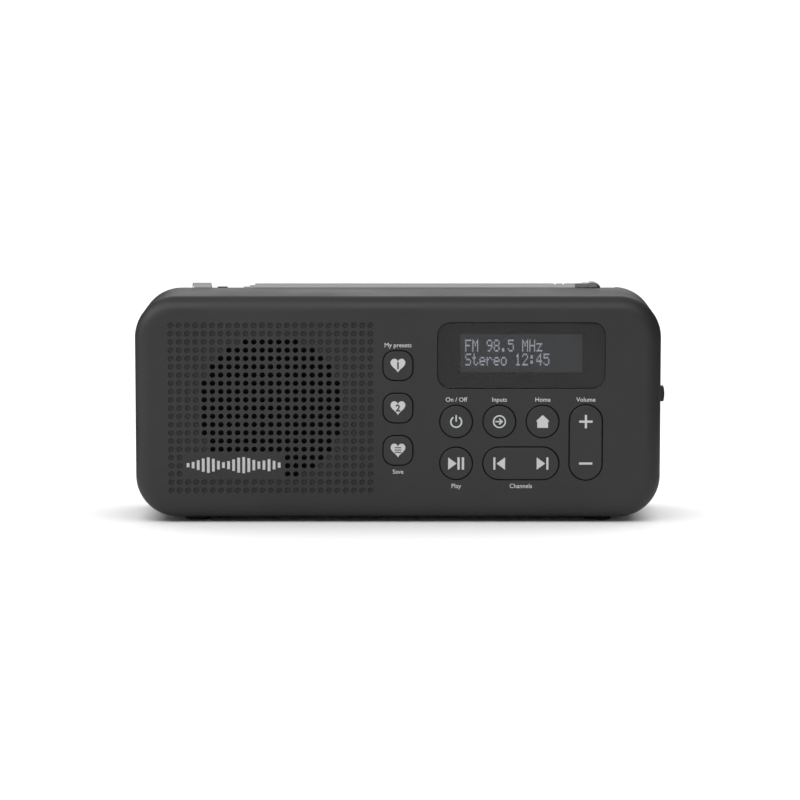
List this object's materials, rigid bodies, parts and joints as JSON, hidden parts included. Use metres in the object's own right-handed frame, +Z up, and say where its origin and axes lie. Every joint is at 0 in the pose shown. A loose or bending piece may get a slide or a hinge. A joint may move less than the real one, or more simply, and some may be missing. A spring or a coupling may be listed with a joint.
{
  "type": "tabletop radio",
  "caption": "Portable tabletop radio with a perforated speaker panel, character display, push keys, rockers, side lock slider and a folding telescopic aerial.",
  "frame": {"origin": "on the plane the radio stands on, under the middle of the case's width and depth", "axes": "+X to the right seen from the front, +Y to the back, +Z up; the front faces -Y"},
  "size_m": [0.1838, 0.0448, 0.0804],
  "materials": {
    "case_plastic": "moulded, fine spark texture",
    "key_plastic": "moulded, satin",
    "smoked_lens": "polished acrylic, back printed",
    "lcd_glass": "polariser film",
    "light_guide": "clear moulded",
    "foot_rubber": "moulded",
    "keypad_rubber": "silicone",
    "foam_rubber": "foam",
    "black_plastic": "moulded",
    "white_plastic": "moulded",
    "plated_steel": "nickel or zinc plated",
    "painted_steel": "pressed and painted",
    "chrome": "polished plate",
    "brass": "stamped",
    "copper": "enamelled winding",
    "ferrite": "pressed",
    "speaker_cloth": "woven",
    "cone_paper": "pressed paper",
    "circuit_board": "solder mask",
    "capacitor_sleeve": "shrink sleeve",
    "cell_sleeve": "printed sleeve",
    "wire_sleeve": "extruded"
  },
  "bodies": {
    "case": {"front_shell": "case_plastic", "rear_shell": "case_plastic", "rubber_feet": "foot_rubber", "case_screws": "plated_steel", "display_lens": "smoked_lens", "keypad_mat": "keypad_rubber", "key_domes": "keypad_rubber", "lock_switch": "black_plastic", "lcd_glass": "lcd_glass", "lcd_light_guide": "light_guide", "lcd_frame": "black_plastic", "lcd_connector_strip": "keypad_rubber", "speaker_cloth": "speaker_cloth", "speaker_gasket": "foam_rubber", "speaker_basket": "painted_steel", "speaker_surround": "foam_rubber", "speaker_cone": "cone_paper", "dust_cap": "cone_paper", "voice_coil": "copper", "speaker_magnet": "ferrite", "speaker_yoke": "plated_steel", "speaker_screws": "plated_steel", "main_board": "circuit_board", "tuner_can": "plated_steel", "board_chips": "black_plastic", "board_capacitors": "capacitor_sleeve", "board_connectors": "white_plastic", "small_screws": "plated_steel", "socket_board": "circuit_board", "usb_socket": "plated_steel", "headphone_socket": "black_plastic", "battery_tray": "black_plastic", "aa_cells": "cell_sleeve", "battery_springs": "plated_steel", "battery_contacts": "plated_steel", "aerial_tag": "brass", "aerial_rest": "foot_rubber", "speaker_leads": "wire_sleeve", "battery_leads": "wire_sleeve", "aerial_lead": "wire_sleeve"},
    "battery_door": {"battery_door": "case_plastic"},
    "lock_slider": {"lock_slider": "key_plastic"},
    "aerial_post": {"aerial_post": "chrome", "aerial_screw": "plated_steel"},
    "aerial_arm": {"aerial_yoke": "chrome", "aerial_pin": "chrome", "aerial_tube": "chrome"},
    "aerial_section_2": {"aerial_section_2": "chrome"},
    "aerial_section_3": {"aerial_section_3": "chrome"},
    "aerial_rod": {"aerial_rod": "chrome", "aerial_tip": "chrome"},
    "preset_1_key": {"preset_1_key": "key_plastic"},
    "preset_2_key": {"preset_2_key": "key_plastic"},
    "add_key": {"add_key": "key_plastic"},
    "standby_key": {"standby_key": "key_plastic"},
    "source_key": {"source_key": "key_plastic"},
    "back_key": {"back_key": "key_plastic"},
    "select_key": {"select_key": "key_plastic"},
    "station_rocker": {"station_rocker": "key_plastic"},
    "volume_rocker": {"volume_rocker": "key_plastic"}
  },
  "joints": [
    {"name": "preset_1_press", "type": "slide", "parent": "case", "child": "preset_1_key", "axis": [0, 1, 0], "range_m": [0, 0.0008], "stiffness_N_per_m": 1000, "deforming": ["key_domes"]},
    {"name": "preset_2_press", "type": "slide", "parent": "case", "child": "preset_2_key", "axis": [0, 1, 0], "range_m": [0, 0.0008], "stiffness_N_per_m": 1000, "deforming": ["key_domes"]},
    {"name": "add_press", "type": "slide", "parent": "case", "child": "add_key", "axis": [0, 1, 0], "range_m": [0, 0.0008], "stiffness_N_per_m": 1000, "deforming": ["key_domes"]},
    {"name": "standby_press", "type": "slide", "parent": "case", "child": "standby_key", "axis": [0, 1, 0], "range_m": [0, 0.0008], "stiffness_N_per_m": 1000, "deforming": ["key_domes"]},
    {"name": "source_press", "type": "slide", "parent": "case", "child": "source_key", "axis": [0, 1, 0], "range_m": [0, 0.0008], "stiffness_N_per_m": 1000, "deforming": ["key_domes"]},
    {"name": "back_press", "type": "slide", "parent": "case", "child": "back_key", "axis": [0, 1, 0], "range_m": [0, 0.0008], "stiffness_N_per_m": 1000, "deforming": ["key_domes"]},
    {"name": "select_press", "type": "slide", "parent": "case", "child": "select_key", "axis": [0, 1, 0], "range_m": [0, 0.0008], "stiffness_N_per_m": 1000, "deforming": ["key_domes"]},
    {"name": "station_rock", "type": "hinge", "parent": "case", "child": "station_rocker", "pos_m": [0.04249, -0.01955, 0.0208], "axis": [0, 0, 1], "range_deg": [-2.5, 2.5], "stiffness_Nm_per_rad": 0.2, "deforming": ["key_domes"]},
    {"name": "volume_rock", "type": "hinge", "parent": "case", "child": "volume_rocker", "pos_m": [0.06489, -0.01955, 0.0281], "axis": [1, 0, 0], "range_deg": [-2.5, 2.5], "stiffness_Nm_per_rad": 0.2, "deforming": ["key_domes"]},
    {"name": "lock_slide", "type": "slide", "parent": "case", "child": "lock_slider", "axis": [0, 0, 1], "range_m": [0, 0.002]},
    {"name": "door_pull", "type": "slide", "parent": "case", "child": "battery_door", "axis": [0, 1, 0], "range_m": [0, 0.03]},
    {"name": "aerial_swivel", "type": "hinge", "parent": "case", "child": "aerial_post", "pos_m": [0.06875, 0.0183, 0.0771], "axis": [0, 0, -1], "range_deg": [0, 120]},
    {"name": "aerial_tilt", "type": "hinge", "parent": "aerial_post", "child": "aerial_arm", "pos_m": [0.06875, 0.0183, 0.0771], "axis": [0, 1, 0], "range_deg": [0, 90]},
    {"name": "aerial_section_2_slide", "type": "slide", "parent": "aerial_arm", "child": "aerial_section_2", "axis": [-1, 0, 0], "range_m": [0, 0.092]},
    {"name": "aerial_section_3_slide", "type": "slide", "parent": "aerial_section_2", "child": "aerial_section_3", "axis": [-1, 0, 0], "range_m": [0, 0.092]},
    {"name": "aerial_rod_slide", "type": "slide", "parent": "aerial_section_3", "child": "aerial_rod", "axis": [-1, 0, 0], "range_m": [0, 0.092]}
  ]
}
